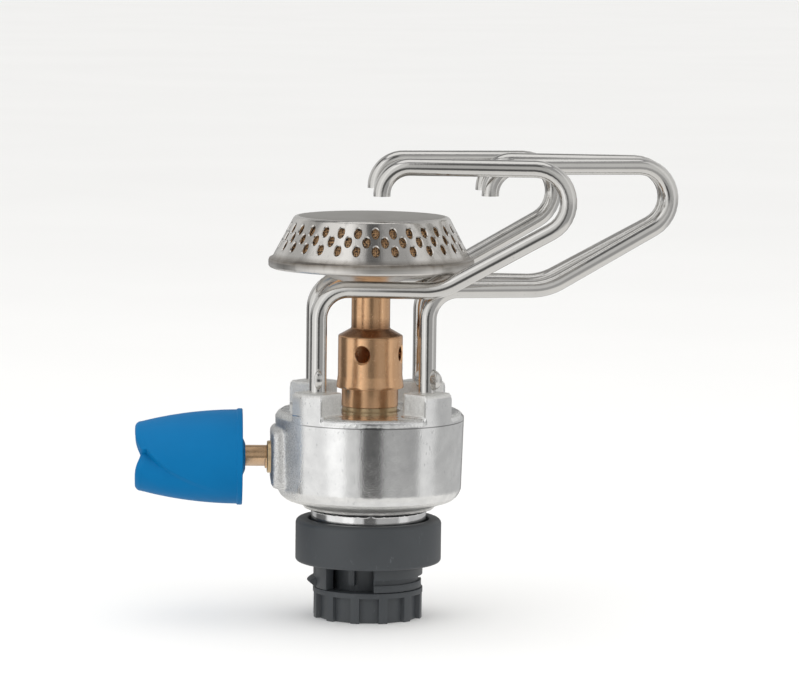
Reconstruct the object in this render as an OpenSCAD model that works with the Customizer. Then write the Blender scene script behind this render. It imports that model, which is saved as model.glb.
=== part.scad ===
// Camping gas stove that locks onto a cartridge, with four fold-away pot supports.
// Origin on the burner axis at the foot of the connector, +Z up through the burner.
// The valve knob points to -X, and the folded supports lie towards +X.

/* [Pot supports] */
// Diameter of the support wire
wire_d = 4; // [3:0.1:4.2]
// Distance of each stem from the burner axis, along X and along Y
stem_offset = 12.7; // [12.5:0.1:13.2]
// Drop of the lower run's centre line below the burner's rim
run_drop = 3.9; // [3.7:0.1:6]
// Distance along the wire from its stem to the kink where it starts to climb
run_len = 28.2; // [28:0.1:32]
// Angle at which the wire climbs
climb_angle = 29.2; // [27:0.1:32]
// Height of the top bar's centre line above the lower run
top_rise = 28.6; // [25:0.1:32]
// Distance from the stem to the hooked tip
tip_reach = 14.4; // [13:0.1:18]
// Centre line radius of the bend between stem and lower run
elbow_r = 7; // [6:0.1:8]
// Centre line radius of the kink between the lower run and the climb
kink_r = 14; // [8:0.5:16]
// Centre line radius of the return bend at the far end
return_r = 7.7; // [6:0.1:9]
// Centre line radius of the hook at the tip
hook_r = 6.5; // [5:0.1:7]
// Yaw of the two folded wires that stand next to the knob, away from each other
outer_yaw = 7.5; // [7:0.1:10]
// Yaw of the two folded wires on the far side, towards each other
inner_yaw = 8.5; // [6:0.1:9]
// Height of the pinched ears that stop each wire on its boss
ear_d = 4.8; // [4:0.1:5.4]
// Thickness of one pinched ear
ear_t = 1.4; // [1:0.1:2]

/* [Valve body] */
// Diameter of the turned drum
drum_d = 44.4; // [43.8:0.1:46]
// Height of the drum between its upper face and the rim of its underside
drum_h = 21; // [20.5:0.1:24]
// Height of the rough conical underside
under_h = 1.3; // [1:0.1:3]
// Fillet along the drum's upper edge
drum_fillet = 1.8; // [1:0.1:2.2]
// Length of the machined neck that enters the connector
neck_len = 10.3; // [9.6:0.1:12]
// Height of the bosses above the drum
boss_h = 5.5; // [4:0.1:7]
// Width of a boss
boss_w = 8.9; // [8:0.1:10]
// Width of the pad that holds the valve spindle
pad_w = 18; // [16:0.1:21]
// Height of the pad
pad_h = 14; // [13:0.1:15.5]
// Distance from the burner axis to the pad's outer face
pad_reach = 23.25; // [23.15:0.05:25]
// Height of the spindle above the rim of the drum's underside
spindle_rise = 9.7; // [9:0.1:11]

/* [Burner] */
// Outer diameter of the mixing chamber with the air holes
chamber_d = 15.2; // [14.4:0.1:16]
// Length of the mixing chamber
chamber_h = 11.8; // [11:0.1:14]
// Height of the shoulder between chamber and riser
shoulder_h = 1.6; // [1:0.1:3]
// Outer diameter of the riser
riser_d = 9.1; // [8:0.1:10]
// Length of the riser up to the burner pan
riser_h = 10.9; // [10:0.1:14]
// Outer diameter of the foot below the chamber
foot_d = 12.9; // [12.4:0.1:13.4]
// Length of the foot
foot_h = 4.9; // [4.4:0.1:6]
// Diameter of an air hole
air_hole_d = 3.6; // [2.5:0.1:4.2]
// Height of the air holes above the foot
air_hole_rise = 7.7; // [6.5:0.1:8.5]
// Number of air holes
air_holes = 4; // [2:1:6]
// Diameter of the flat top of the burner cap
cap_top_d = 36.2; // [33:0.1:38]
// Diameter of the burner cap's rolled rim
rim_d = 48.3; // [46:0.1:48.6]
// Height of the cap above the rolled rim
cap_h = 9.75; // [9:0.05:12]
// Height of the rolled rim
rim_h = 2.4; // [2:0.1:3]
// Height of the dished pan below the rolled rim
pan_rise = 3.4; // [3:0.1:5]
// Thickness of the burner's sheet steel
sheet_t = 0.5; // [0.4:0.05:0.6]
// Number of flame holes in one row
flame_holes = 30; // [20:1:32]
// Number of rows of flame holes
flame_rows = 3; // [2:1:3]
// Diameter of a flame hole
flame_hole_d = 1.7; // [1:0.1:1.9]

/* [Valve and knob] */
// Diameter of the brass spindle
spindle_d = 5.5; // [5:0.1:5.7]
// Free length of the spindle between the valve body and the knob
spindle_gap = 5.8; // [4:0.1:8]
// Depth of the flat along the spindle
flat_depth = 1.3; // [1:0.1:1.5]
// Length of the knob
knob_len = 25.2; // [23:0.1:30]
// Diameter of the knob behind its rim
knob_d = 22.2; // [20:0.1:24]
// Diameter to which the knob draws in at its end
knob_end_d = 15.6; // [15:0.1:19]
// Depth of the twisted finger grooves at the knob's end
groove_depth = 2; // [0.5:0.1:2.5]
// Number of finger grooves
grooves = 2; // [2:1:3]

/* [Connector] */
// Outer diameter of the connector's collar
collar_d = 34.4; // [33:0.1:36]
// Height of the collar
collar_h = 10.25; // [9:0.05:11]
// Height of the plug that shows between the collar and the locking ring
plug_exposed_h = 6; // [5.4:0.1:8]
// Outer diameter of the locking ring
ring_d = 25.9; // [25.4:0.1:26.2]
// Height of the locking ring
ring_h = 7.1; // [6:0.1:9]
// Number of ribs round the locking ring
ring_ribs = 12; // [8:1:14]
// Bore of the plug that goes over the cartridge valve
socket_d = 15; // [14:0.1:15.2]
// Depth of the bore up to the seal
socket_h = 6.2; // [5:0.1:6.6]
// Wall of the plug's core
core_wall = 1.3; // [1:0.1:1.5]

/* [Fits] */
// Running clearance of a turning shaft, on the radius
run_gap = 0.05; // [0.02:0.01:0.08]
// Clearance between faces that pass each other
face_gap = 0.15; // [0.1:0.01:0.2]
// Clearance of a seated piece, on the radius
seat_gap = 0.02; // [0.01:0.01:0.04]

/* [Hidden] */

$fn = 96;
fine_fn = 40;
overrun = 0.1;

// Heights of the connector and the valve body, counted up from the foot
collar_lip_h = 1.3;
plug_flange_h = 2;
collar_z0 = ring_h + plug_exposed_h;
collar_z1 = collar_z0 + collar_h;
flange_z0 = collar_z0 + collar_lip_h;
plug_top = flange_z0 + plug_flange_h;
neck_z1 = plug_top + neck_len;
under_z1 = neck_z1 + under_h;
drum_top = under_z1 + drum_h;
boss_top = drum_top + boss_h;
spindle_z = under_z1 + spindle_rise;

// Diameters of the connector, counted out from the locking ring
lip_clearance = 0.75;
flange_seat = 0.55;
neck_inset = 0.65;
collar_lip_d = ring_d + 2 * lip_clearance;
plug_flange_d = collar_lip_d + 2 * flange_seat;
neck_d = plug_flange_d - 2 * neck_inset;

// Gas ways and screw holes in the valve body
gas_way_d = 2;
inlet_thread_d = 9;
inlet_thread_len = 6;
inlet_room = 0.8;
inlet_way_offset = 6.2;
nipple_inset = 0.7;
nipple_flange_h = 1.2;
nipple_flange_d = socket_d - 2 * nipple_inset;
screw_d = 2.5;
screw_head_d = 3.2;
screw_head_h = 1;
screw_ring_d = 22.4;
screw_depth = 5;
screw_angles = [31, 124, 230];

// Shape of the valve body
drum_draft = 0.5;
skirt_h = 2.4;
skirt_inset = 1.9;
skirt_bulge_share = 0.6;
neck_step = 1.95;
neck_step_h = 0.9;
boss_inner_r = 14.4;
boss_chamfer = 0.8;
pad_fillet = 1.6;
pad_depth = 9;
pad_lift = 0.2;

// Stems of the supports and the open rings that hold them
stem_depth = 17;
stem_z0 = boss_top - stem_depth;
stem_groove_depth = 0.5;
stem_groove_d = wire_d - 2 * stem_groove_depth;
snap_ring_h = 0.8;
snap_ring_rise = 3;
snap_ring_bite = 0.6;
snap_ring_d = wire_d + 2 * snap_ring_bite;
snap_ring_z = stem_z0 + snap_ring_rise;
snap_ring_opening = 50;
ear_rise = 3.2;
ear_offset = 1.2;
left_ear_turn = -90;
right_ear_turn = -55;

// Jet and burner
washer_h = 0.6;
washer_room = 0.2;
holder_thread_d = 9;
holder_thread_len = 6;
holder_step = 0.05;
holder_flange_h = 1.7;
holder_nose_d = 9.6;
holder_nose_h = 4;
holder_bore_d = 4.4;
holder_d = foot_d + 2 * holder_step;
seat_room = 0.7;
seat_depth = 1.4;
seat_d = holder_d + 2 * seat_room;
holder_z0 = drum_top - seat_depth + washer_h;
tube_z0 = holder_z0 + holder_flange_h;
nose_z1 = tube_z0 + holder_nose_h;
filter_h = 2;
filter_rise = 1;
jet_sink = 3;
jet_head_d = 5.4;
jet_head_h = 3;
jet_roof = 1;
jet_hole_d = 0.4;
tube_wall = 0.9;
tube_lip = 0.3;
tube_lip_h = 0.5;
tube_flare_h = 2.4;
tube_seat = 0.4;
tube_seat_h = 0.5;
tube_curl = 0.5;
tube_curl_h = 1.2;
chamber_z0 = tube_z0 + foot_h;
chamber_z1 = chamber_z0 + chamber_h;
riser_z0 = chamber_z1 + shoulder_h;
pan_z0 = riser_z0 + riser_h;
air_hole_z = chamber_z0 + air_hole_rise;
air_hole_turn = 18;
pan_foot = 1.2;
pan_dish_d = 25;
pan_dish_share = 0.62;
pan_shelf = 2.6;
pan_d = rim_d - 4 * sheet_t;
rim_z0 = pan_z0 + pan_rise;
rim_z1 = rim_z0 + rim_h;
cap_z1 = rim_z1 + cap_h;
rim_bead = 0.85;
rim_fold = 1.6;
cap_wall_d = rim_d - 2 * rim_bead;
cap_fillet = 1.1;
cap_slope = atan((cap_wall_d - cap_top_d) / 2 / cap_h);
row_pitch = 2;
first_row_drop = 2.55;
gauze_gap = 0.35;
gauze_t = 0.4;
gauze_drop = 1.2;

// Supports, along the wire
run_z = rim_z0 - run_drop;
top_z = run_z + top_rise;
kink_tangent = kink_r * tan(climb_angle / 2);
far_corner = run_len + top_rise / tan(climb_angle);
return_tangent = return_r / tan(climb_angle / 2);
hook_len = 0.4;

// Valve spindle, with distances from the burner axis towards the knob
gland_d = 7.6;
gland_len = 7.2;
gland_step = 0.85;
gland_washer_h = 0.8;
gland_x1 = pad_reach + gland_step;
gland_x0 = gland_x1 - gland_len;
thread_room_x = gland_x0 - gland_washer_h;
spindle_travel = 1.5;
thread_rise = 0.45;
thread_d = spindle_d + 2 * thread_rise;
thread_len = 6;
thread_x1 = thread_room_x - spindle_travel - face_gap;
thread_x0 = thread_x1 - thread_len;
needle_room = 0.9;
needle_d = 3;
needle_tip_d = 0.7;
needle_len = 2.6;
needle_gap = 0.1;
seat_bore_d = 1.6;
seat_x = 4.6;
needle_x0 = seat_x + needle_gap - needle_len * (seat_bore_d - needle_tip_d) / (needle_d - needle_tip_d);
o_ring_back = 3.4;
o_ring_x = gland_x1 - o_ring_back;
o_ring_h = 0.9;
o_ring_bite = 0.85;
o_ring_groove_d = spindle_d - 2 * o_ring_bite;
flat_angle = 210;
flat_start = 0.5;

// Knob
knob_x0 = gland_x1 + spindle_gap;
knob_wall = 1.6;
knob_cavity_h = 13;
knob_hub_d = 9.4;
knob_hub_taper = 3.2;
knob_hub_h = 0.7;
knob_lip = 0.25;
knob_lip_h = 1.1;
knob_grip = 14;
knob_draw_power = 2.1;
knob_edge_r = 1.5;
knob_dish = 1.4;
knob_notch = 2;
groove_start = 224;
groove_turn = 36;
groove_hook = 40;
groove_steep_share = 0.04;
groove_rest_share = 0.76;
groove_plain_share = 0.15;
knob_sides = 72;
knob_rings = 16;
knob_edge_rings = 3;
knob_face_rings = 3;
spindle_x1 = knob_x0 + knob_grip;
clip_t = 0.9;
clip_w = 2.6;
clip_len = 10;

// Connector
collar_top_fillet = 1.2;
collar_low_fillet = 0.8;
fillet_share = 0.29;
core_d = socket_d + 2 * core_wall;
seal_ledge = 0.3;
seal_h = 4;
claw_step = 0.05;
claw_wall = 2.2;
claw_lip_inset = 0.3;
claw_groove_inset = 1;
claw_groove_rise = 1.7;
claw_groove_h = 1.3;
claw_z0 = ring_h + face_gap;
claw_r = ring_d / 2 - claw_step;
claw_spans = [[4, 96], [146, 196]];
post_span = [-128, -52];
nub_span = [-126, -74];
nub_reach = 1.5;
nub_h = 2.4;
nub_peak_share = 0.55;
tab_w = 1.5;
tab_t = 1.4;
tab_len = 4.5;
tab_angle = -25;
circlip_h = 0.8;
circlip_lift = 1;
circlip_bite = 0.6;
circlip_stand = 0.9;
circlip_opening = 70;
circlip_groove_d = core_d - 2 * circlip_bite;
circlip_d = core_d + 2 * circlip_stand;
rib_w = 2.1;
rib_turn = 14;
rib_depth = 1.1;
ring_band_h = 1.2;
nipple_d = 5.2;
nipple_hole_d = 1.8;
nipple_gap = 0.2;
nipple_z0 = socket_h + nipple_gap;
inlet_filter_d = 4.4;
inlet_filter_h = 1.2;

// A washer or a length of pipe
module ring(d_out, d_in, h) {
  difference() {
    cylinder(d = d_out, h = h);
    translate([0, 0, -overrun])
      cylinder(d = d_in, h = h + 2 * overrun);
  }
}

// A wedge that reaches past a circle, from one angle to another, counted from -Y towards +X
module wedge(d, a0, a1, h) {
  steps = ceil((a1 - a0) / 30);
  reach = d / 2 / cos(15) + overrun;
  turns = [for (i = [0:steps]) a0 - 90 + (a1 - a0) * i / steps];
  linear_extrude(height = h)
    polygon(concat([[0, 0]], [for (a = turns) reach * [cos(a), sin(a)]]));
}

// Pot supports, each drawn in the XZ plane with its stem on the Z axis

module wire_bend(x, z, r, a0, a1) {
  translate([x, 0, z])
    rotate([90, -a0, 0])
      rotate_extrude(angle = a1 - a0)
        translate([r, 0])
          circle(d = wire_d, $fn = fine_fn);
}

module wire_run(x, z, angle, len) {
  translate([x, 0, z])
    rotate([0, 90 - angle, 0])
      cylinder(d = wire_d, h = len, $fn = fine_fn);
}

module support_stem(ear_turn) {
  difference() {
    wire_run(0, stem_z0, 90, run_z - elbow_r - stem_z0);
    translate([0, 0, snap_ring_z - face_gap])
      ring(snap_ring_d, stem_groove_d, snap_ring_h + 2 * face_gap);
  }
  for (a = [ear_turn, ear_turn + 180])
    rotate([0, 0, a])
      translate([ear_offset, ear_t / 2, boss_top + ear_rise])
        rotate([90, 0, 0])
          cylinder(d = ear_d, h = ear_t, $fn = fine_fn);
}

module support_wire(ear_turn) {
  support_stem(ear_turn);
  wire_bend(elbow_r, run_z - elbow_r, elbow_r, 90, 180);
  wire_run(elbow_r, run_z, 0, run_len - kink_tangent - elbow_r);
  wire_bend(run_len - kink_tangent, run_z + kink_r, kink_r, -90, climb_angle - 90);
  wire_run(
    run_len + kink_tangent * cos(climb_angle),
    run_z + kink_tangent * sin(climb_angle),
    climb_angle,
    top_rise / sin(climb_angle) - kink_tangent - return_tangent
  );
  wire_bend(far_corner - return_tangent, top_z - return_r, return_r, climb_angle - 90, 90);
  wire_run(tip_reach + hook_r, top_z, 0, far_corner - return_tangent - tip_reach - hook_r);
  wire_bend(tip_reach + hook_r, top_z - hook_r, hook_r, 90, 180);
  wire_run(tip_reach, top_z - hook_r - hook_len, 90, hook_len);
}

// A support on its boss, with the side of the burner as -1 or +1 along X and along Y
module support(side_x, side_y, yaw, ear_turn) {
  color("gainsboro")
    translate([side_x * stem_offset, side_y * stem_offset, 0])
      rotate([0, 0, yaw])
        support_wire(ear_turn - yaw);
}

module support_front_left() { support(-1, -1, -outer_yaw, left_ear_turn); }
module support_back_left() { support(-1, 1, outer_yaw, left_ear_turn); }
module support_front_right() { support(1, -1, inner_yaw, right_ear_turn); }
module support_back_right() { support(1, 1, -inner_yaw, right_ear_turn); }

module at_stems(z) {
  for (x = [-1, 1], y = [-1, 1])
    translate([x * stem_offset, y * stem_offset, z])
      children();
}

module support_snap_rings() {
  color("dimgray")
    at_stems(snap_ring_z)
      difference() {
        ring(snap_ring_d, stem_groove_d + 2 * run_gap, snap_ring_h);
        translate([0, 0, -overrun])
          wedge(snap_ring_d, 0, snap_ring_opening, snap_ring_h + 2 * overrun);
      }
}

// Valve body

// Half of the turned outline: neck, step, rough underside, drum wall and upper fillet
module drum_outline() {
  neck_r = neck_d / 2;
  low_r = drum_d / 2 - drum_draft;
  fillet_x = drum_d / 2 - drum_fillet;
  fillet_z = drum_top - drum_fillet;
  fillet = [for (a = [0:15:90]) [fillet_x + drum_fillet * cos(a), fillet_z + drum_fillet * sin(a)]];
  polygon(concat(
    [
      [0, plug_top],
      [neck_r, plug_top],
      [neck_r, neck_z1 - neck_step_h],
      [neck_r + neck_step, neck_z1 - neck_step_h],
      [neck_r + neck_step, neck_z1],
      [low_r - skirt_inset, under_z1],
      [low_r - skirt_inset * (1 - skirt_bulge_share), under_z1 + skirt_h * (1 - skirt_bulge_share)],
      [low_r, under_z1 + skirt_h]
    ],
    fillet,
    [[0, drum_top]]
  ));
}

// Four blocks at the corners, flush with the drum's wall and chamfered along their top
module bosses() {
  boss_r = drum_d / 2;
  boss_z0 = drum_top - drum_fillet;
  intersection() {
    rotate_extrude()
      polygon([
        [0, boss_z0],
        [boss_r, boss_z0],
        [boss_r, boss_top - boss_chamfer],
        [boss_r - boss_chamfer, boss_top],
        [0, boss_top]
      ]);
    for (a = [45:90:315])
      rotate([0, 0, a])
        translate([boss_inner_r, -boss_w / 2, boss_z0])
          cube([boss_r - boss_inner_r + overrun, boss_w, boss_top - boss_z0]);
  }
}

// The rounded block that carries the spindle
module pad() {
  x = pad_w / 2 - pad_fillet;
  y = pad_h / 2 - pad_fillet;
  corners = [[x, y, 0], [-x, y, 90], [-x, -y, 180], [x, -y, 270]];
  translate([-pad_reach, 0, spindle_z + pad_lift])
    rotate([90, 0, 90])
      linear_extrude(height = pad_depth)
        polygon([
          for (c = corners, a = [0:30:90])
            [c[0] + pad_fillet * cos(c[2] + a), c[1] + pad_fillet * sin(c[2] + a)]
        ]);
}

// Places a piece that is turned about the spindle, with its +Z towards the knob
module on_spindle(x) {
  translate([-x, 0, spindle_z])
    rotate([0, -90, 0])
      children();
}

module spindle_rod(d, x0, x1) {
  on_spindle(x0)
    cylinder(d = d, h = x1 - x0);
}

// The gas ways: inlet, slanted way to the needle, seat and the rise to the jet
module gas_ways() {
  recess_z1 = plug_top + nipple_flange_h;
  inlet_z1 = recess_z1 + inlet_thread_len + inlet_room;
  way_rise = spindle_z - inlet_z1;
  way_tilt = atan(inlet_way_offset / way_rise);
  holder_hole_z0 = drum_top - seat_depth - holder_thread_len;
  translate([0, 0, plug_top - overrun])
    cylinder(d = nipple_flange_d + 2 * seat_gap, h = nipple_flange_h + overrun);
  translate([0, 0, recess_z1 - overrun])
    cylinder(d = inlet_thread_d + 2 * seat_gap, h = inlet_z1 - recess_z1 + overrun);
  translate([0, 0, inlet_z1 - overrun])
    rotate([0, -way_tilt, 0])
      cylinder(d = gas_way_d, h = way_rise / cos(way_tilt));
  spindle_rod(seat_bore_d, 0, seat_x + overrun);
  translate([0, 0, spindle_z])
    cylinder(d = gas_way_d, h = holder_hole_z0 - spindle_z + overrun);
  translate([0, 0, holder_hole_z0])
    cylinder(d = holder_thread_d + 2 * seat_gap, h = holder_thread_len + overrun);
  translate([0, 0, drum_top - seat_depth])
    cylinder(d = seat_d, h = seat_depth + overrun);
}

module at_screws(z) {
  for (a = screw_angles)
    rotate([0, 0, a])
      translate([screw_ring_d / 2, 0, z])
        children();
}

module valve_body() {
  color("silver")
    difference() {
      union() {
        rotate_extrude()
          drum_outline();
        bosses();
        pad();
      }
      at_stems(stem_z0 - face_gap)
        cylinder(d = wire_d + 2 * run_gap, h = stem_depth + face_gap + overrun);
      at_stems(snap_ring_z)
        cylinder(d = snap_ring_d, h = snap_ring_h);
      gas_ways();
      spindle_rod(needle_d + 2 * needle_room, seat_x, thread_x0);
      spindle_rod(thread_d + 2 * run_gap, thread_x0 - face_gap, thread_room_x + overrun);
      spindle_rod(gland_d + 2 * seat_gap, thread_room_x, pad_reach + pad_depth);
      at_screws(plug_top - overrun)
        cylinder(d = screw_d + 2 * seat_gap, h = screw_depth + overrun);
    }
}

// Burner

module jet_washer() {
  color("saddlebrown")
    translate([0, 0, drum_top - seat_depth])
      ring(holder_d, holder_thread_d + 2 * washer_room, washer_h);
}

module jet_holder() {
  thread_z0 = holder_z0 - holder_thread_len;
  color("peru")
    difference() {
      union() {
        translate([0, 0, thread_z0])
          cylinder(d = holder_thread_d, h = holder_thread_len);
        translate([0, 0, holder_z0])
          cylinder(d = holder_d, h = holder_flange_h);
        translate([0, 0, tube_z0])
          cylinder(d = holder_nose_d, h = holder_nose_h);
      }
      translate([0, 0, thread_z0 - overrun])
        cylinder(d = holder_bore_d + 2 * seat_gap, h = nose_z1 - thread_z0 + 2 * overrun);
    }
}

module jet_filter() {
  color("darkgoldenrod")
    translate([0, 0, holder_z0 - holder_thread_len + filter_rise])
      cylinder(d = holder_bore_d, h = filter_h);
}

module jet() {
  color("goldenrod")
    translate([0, 0, nose_z1])
      difference() {
        union() {
          translate([0, 0, -jet_sink])
            cylinder(d = holder_bore_d, h = jet_sink);
          cylinder(d = jet_head_d, h = jet_head_h);
        }
        translate([0, 0, -jet_sink - overrun])
          cylinder(d = gas_way_d, h = jet_sink + jet_head_h - jet_roof + overrun);
        cylinder(d = jet_hole_d, h = jet_head_h + overrun);
      }
}

// One turned and drawn tube: foot, lip, flare, mixing chamber, shoulder, riser and curl
module burner_tube() {
  foot_r = foot_d / 2;
  foot_bore_r = holder_nose_d / 2 + seat_gap;
  lip_r = chamber_d / 2 + tube_lip;
  chamber_r = chamber_d / 2;
  riser_r = riser_d / 2;
  color("peru")
    difference() {
      rotate_extrude()
        polygon([
          [foot_bore_r, tube_z0],
          [foot_r, tube_z0],
          [foot_r, chamber_z0 - tube_lip_h],
          [lip_r - tube_lip_h / 2, chamber_z0 - tube_lip_h],
          [lip_r, chamber_z0 - tube_lip_h / 2],
          [lip_r, chamber_z0],
          [chamber_r, chamber_z0 + tube_flare_h],
          [chamber_r, chamber_z1],
          [riser_r, riser_z0],
          [riser_r, pan_z0 - tube_seat_h],
          [riser_r + tube_seat, pan_z0],
          [riser_r, pan_z0],
          [riser_r, pan_z0 + sheet_t],
          [riser_r + tube_curl, pan_z0 + sheet_t],
          [riser_r + tube_curl, pan_z0 + tube_curl_h],
          [riser_r - tube_wall, pan_z0 + tube_curl_h],
          [riser_r - tube_wall, riser_z0 - tube_wall / 2],
          [chamber_r - tube_wall, chamber_z1 - tube_wall / 2],
          [chamber_r - tube_wall, chamber_z0 + tube_wall],
          [foot_bore_r, chamber_z0]
        ]);
      for (i = [0:air_holes - 1])
        translate([0, 0, air_hole_z])
          rotate([0, 90, 360 / air_holes * i - air_hole_turn])
            cylinder(d = air_hole_d, h = chamber_d);
    }
}

// The dished pan, which closes the burner head from below and ends in a flat shelf
module burner_pan() {
  foot_r = riser_d / 2;
  dish_z = pan_z0 + pan_rise * pan_dish_share;
  shelf_z = rim_z0 + sheet_t;
  color("lightgray")
    rotate_extrude()
      polygon([
        [foot_r, pan_z0],
        [foot_r + pan_foot, pan_z0],
        [pan_dish_d / 2, dish_z],
        [pan_d / 2 - pan_shelf, shelf_z],
        [pan_d / 2, shelf_z],
        [pan_d / 2, shelf_z + sheet_t],
        [pan_d / 2 - pan_shelf, shelf_z + sheet_t],
        [pan_dish_d / 2, dish_z + sheet_t],
        [foot_r + pan_foot, pan_z0 + sheet_t],
        [foot_r, pan_z0 + sheet_t]
      ]);
}

// A flat top, a sloping wall with flame holes and a rim rolled round the pan's edge
module burner_cap() {
  top_r = cap_top_d / 2;
  wall_r = cap_wall_d / 2;
  rim_r = rim_d / 2;
  slope = [sin(cap_slope), -cos(cap_slope)];
  corner = [top_r, cap_z1];
  flat_end = corner - [cap_fillet, 0];
  wall_start = corner + cap_fillet * slope;
  inner_corner = corner - [sheet_t, sheet_t];
  color("lightgray")
    difference() {
      rotate_extrude()
        polygon([
          [0, cap_z1],
          flat_end,
          (flat_end + 2 * corner + wall_start) / 4,
          wall_start,
          [wall_r, rim_z1],
          [rim_r - sheet_t / 2, rim_z1 - sheet_t / 2],
          [rim_r, rim_z1 - rim_h * 0.35],
          [rim_r, rim_z0 + rim_h * 0.25],
          [rim_r - sheet_t, rim_z0],
          [rim_r - rim_fold, rim_z0],
          [rim_r - rim_fold, rim_z0 + sheet_t],
          [rim_r - sheet_t * 2, rim_z0 + sheet_t],
          [rim_r - sheet_t * 1.5, rim_z0 + sheet_t * 1.5],
          [rim_r - sheet_t * 1.5, rim_z1 - rim_h * 0.45],
          [wall_r - sheet_t, rim_z1],
          inner_corner + cap_fillet * slope,
          inner_corner - [cap_fillet, 0],
          [0, cap_z1 - sheet_t]
        ]);
      for (row = [0:flame_rows - 1], i = [0:flame_holes - 1])
        rotate([0, 0, 360 / flame_holes * (i + (row + 1) / 2)])
          translate([top_r - cap_fillet, 0, cap_z1 - first_row_drop - row_pitch * row])
            rotate([0, 90, 0])
              cylinder(d = flame_hole_d, h = rim_r - top_r + cap_fillet, $fn = fine_fn);
    }
}

// The copper gauze inside the cap, which stands on the pan's shelf behind the flame holes
module burner_gauze() {
  gauze_step = (sheet_t + gauze_gap) / cos(cap_slope);
  low_z = rim_z0 + 2 * sheet_t;
  high_z = cap_z1 - sheet_t - gauze_drop;
  low_r = cap_top_d / 2 + (cap_z1 - low_z) * tan(cap_slope) - gauze_step;
  high_r = cap_top_d / 2 + (cap_z1 - high_z) * tan(cap_slope) - gauze_step;
  color("chocolate")
    rotate_extrude()
      polygon([
        [0, high_z - gauze_t],
        [high_r - gauze_t, high_z - gauze_t],
        [low_r - gauze_t, low_z],
        [low_r, low_z],
        [high_r, high_z],
        [0, high_z]
      ]);
}

// Valve and knob

module gland_washer() {
  color("ivory")
    on_spindle(thread_room_x)
      ring(gland_d, spindle_d + 4 * run_gap, gland_washer_h);
}

module gland_nut() {
  color("goldenrod")
    on_spindle(gland_x0)
      ring(gland_d, spindle_d + 2 * run_gap, gland_len);
}

module spindle_o_ring() {
  color("black")
    on_spindle(o_ring_x + face_gap)
      ring(spindle_d, o_ring_groove_d + 2 * run_gap, o_ring_h);
}

// Needle, thread and shaft in one, with an O-ring groove and a long flat for the knob
module valve_spindle() {
  flat_r = spindle_d / 2 - flat_depth;
  flat_x0 = gland_x1 + flat_start;
  color("peru")
    difference() {
      union() {
        on_spindle(needle_x0)
          cylinder(d1 = needle_tip_d, d2 = needle_d, h = needle_len);
        spindle_rod(needle_d, needle_x0 + needle_len, thread_x0);
        spindle_rod(thread_d, thread_x0, thread_x1);
        spindle_rod(spindle_d, thread_x1, spindle_x1);
      }
      on_spindle(o_ring_x)
        ring(spindle_d + 2 * overrun, o_ring_groove_d, o_ring_h + 2 * face_gap);
      on_spindle(flat_x0)
        rotate([0, 0, flat_angle])
          translate([flat_r, -spindle_d / 2, 0])
            cube([spindle_d, spindle_d, spindle_x1 - flat_x0 + overrun]);
    }
}

// The spring leaf that wedges the knob on the spindle's flat
module knob_clip() {
  clip_r = spindle_d / 2 - flat_depth + seat_gap;
  color("dimgray")
    on_spindle(spindle_x1 - clip_len)
      rotate([0, 0, flat_angle])
        translate([clip_r, -clip_w / 2, 0])
          cube([clip_t, clip_w, clip_len]);
}

// Angle at which a groove's sharp edge stands, from the rim at 0 to the end at 1
function groove_edge(t) = groove_start + groove_turn * t + groove_hook * pow(t, 4);

// Share of a groove's pitch that lies between its sharp edge and an angle
function past_edge_share(t, a) =
  let (turn = (a - groove_edge(t)) * grooves / 360)
  turn - floor(turn);

// Share of the groove's depth: steep just before an edge, slow on the way to it
function groove_share(t, a) =
  let (s = past_edge_share(t, a), peak = 1 - groove_steep_share, slow = peak - groove_rest_share)
  s > peak ? pow((1 - s) / groove_steep_share, 0.8) : pow(max(0, s - groove_rest_share) / slow, 2);

// Share of the groove's depth that is reached along the knob
function growth_share(t) = pow(max(0, t - groove_plain_share) / (1 - groove_plain_share), 2);

function knob_plain_r(t) = knob_d / 2 - (knob_d - knob_end_d) / 2 * pow(t, knob_draw_power);

function knob_r(t, a) = knob_plain_r(t) - groove_depth * growth_share(t) * groove_share(t, a);

// Distance by which the knob's end falls back at a groove
function end_fall(t, a) = knob_notch * pow(t, 8) * groove_share(t, a);

knob_body_h = knob_len - knob_edge_r;
knob_body_share = knob_body_h / knob_len;
knob_turns = [for (j = [0:knob_sides - 1]) 360 / knob_sides * j];

function knob_ring(z, r_share, t, inset) = [
  for (a = knob_turns)
    let (r = (knob_r(t, a) - inset) * r_share)
      [r * cos(a), r * sin(a), z - end_fall(t, a)]
];

// Rings of points from the rim, along the side, round the edge and in across the dished end
knob_points = [
  for (k = [0:knob_rings])
    let (t = knob_body_share * k / knob_rings)
      each knob_ring(knob_len * t, 1, t, 0),
  for (k = [1:knob_edge_rings])
    let (turn = 90 / knob_edge_rings * k)
      each knob_ring(
        knob_body_h + knob_edge_r * sin(turn), 1, knob_body_share, knob_edge_r * (1 - cos(turn))
      ),
  for (k = [1:knob_face_rings])
    let (r_share = 1 - k / (knob_face_rings + 1))
      each knob_ring(
        knob_len - knob_dish * (1 - r_share * r_share), r_share, knob_body_share, knob_edge_r
      ),
  [0, 0, knob_len - knob_dish],
  [0, 0, 0]
];

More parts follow.
